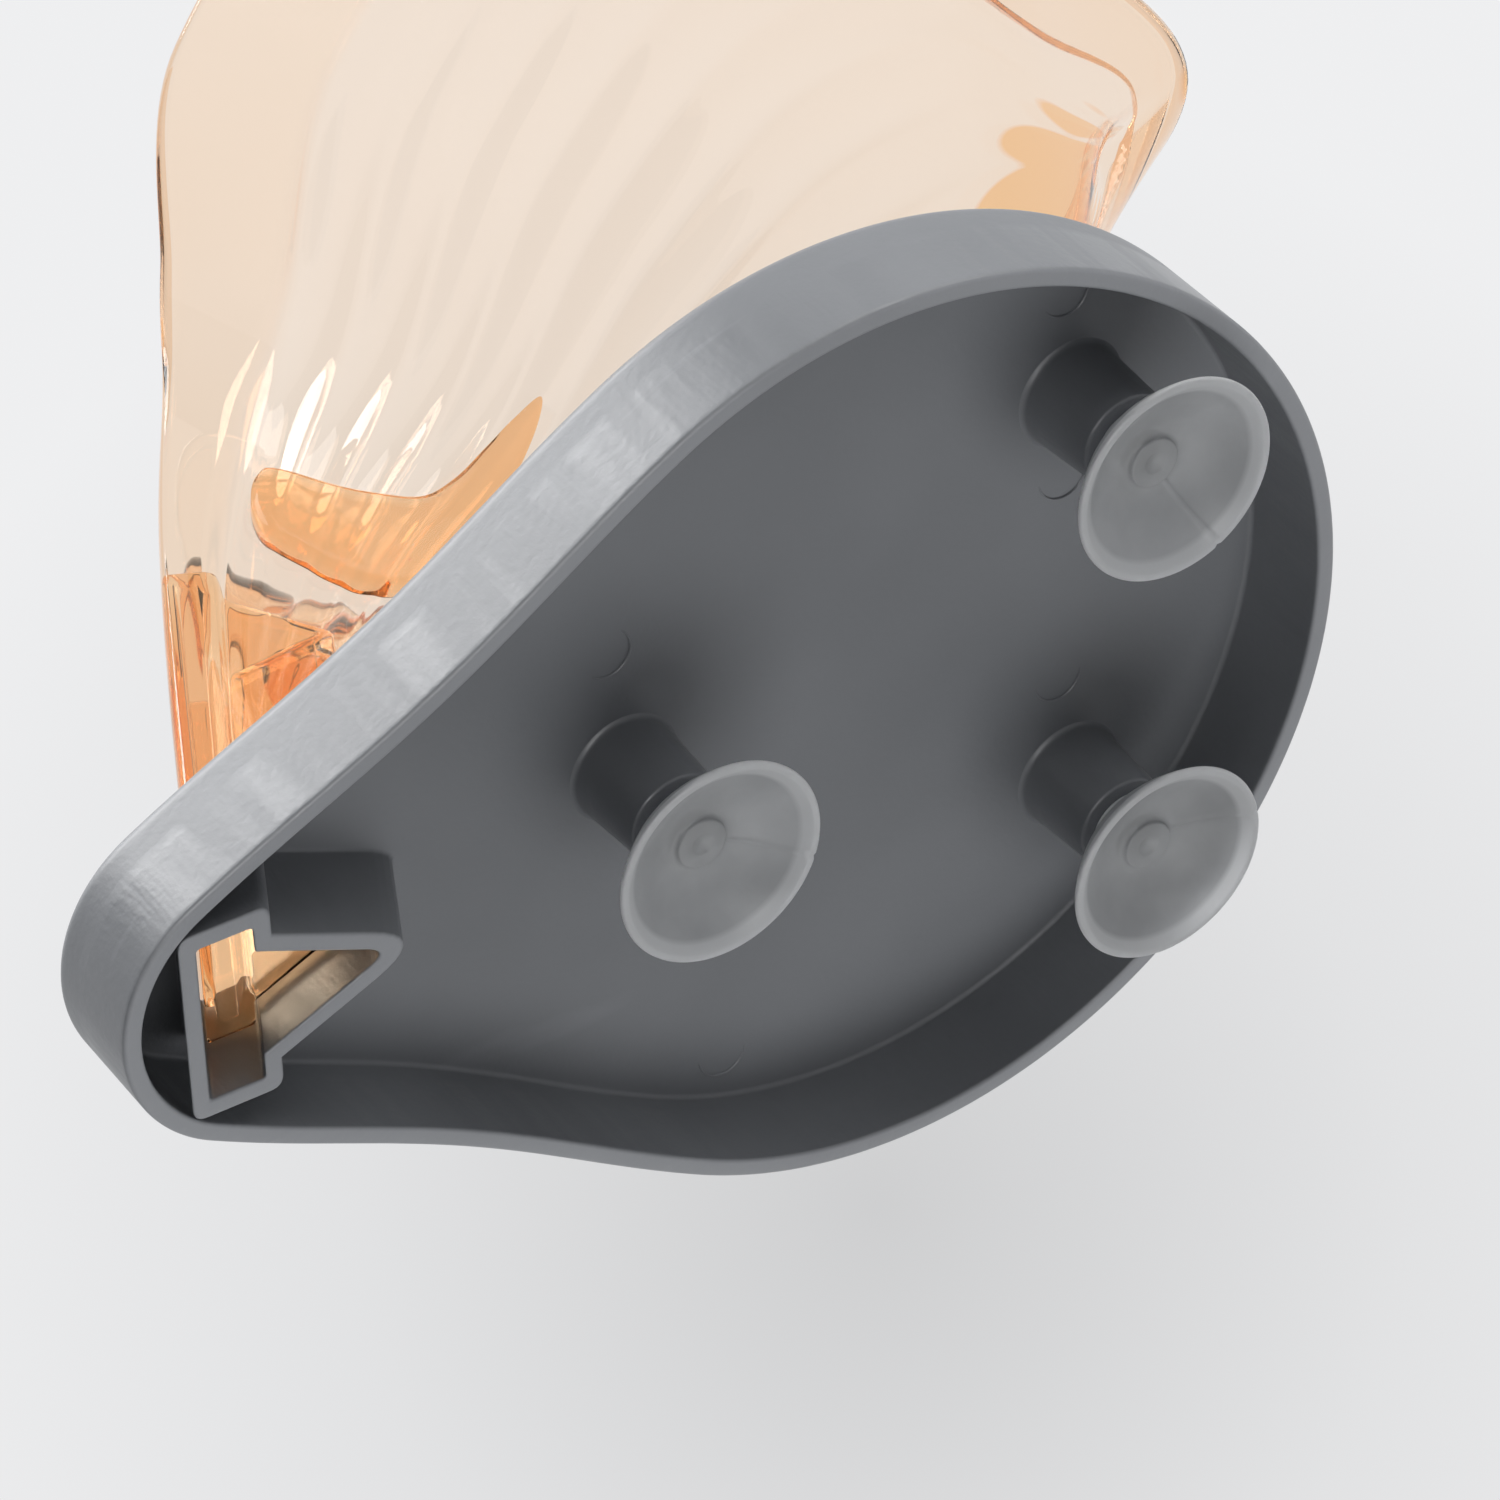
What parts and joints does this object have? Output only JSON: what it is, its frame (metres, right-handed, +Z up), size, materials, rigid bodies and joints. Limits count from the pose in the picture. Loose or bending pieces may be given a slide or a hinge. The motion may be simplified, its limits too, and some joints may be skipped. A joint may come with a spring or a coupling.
{
  "type": "soap dish",
  "caption": "Self-draining leaf-shaped soap dish: a clear amber fluted bowl on a slanted drain stem that plugs into a grey teardrop base standing on suction cups.",
  "frame": {"origin": "on the surface that the suction cup lips rest on, under the middle of the whole object's bounding box", "axes": "+Z up, +X from the base's narrow end towards the leaf's tip, +Y to the left"},
  "size_m": [0.1424, 0.105, 0.0743],
  "materials": {
    "grey_plastic": "satin moulded",
    "amber_plastic": "clear polished",
    "clear_vinyl": "translucent soft vinyl"
  },
  "bodies": {
    "base": {"base_tray": "grey_plastic", "suction_cup_rear": "clear_vinyl", "suction_cup_front_left": "clear_vinyl", "suction_cup_front_right": "clear_vinyl"},
    "dish": {"leaf_dish": "amber_plastic", "stem_insert": "amber_plastic"}
  },
  "joints": [
    {"name": "dish_lift", "type": "slide", "parent": "base", "child": "dish", "axis": [0.4226, 0, 0.9063], "range_m": [0, 0.02]}
  ]
}
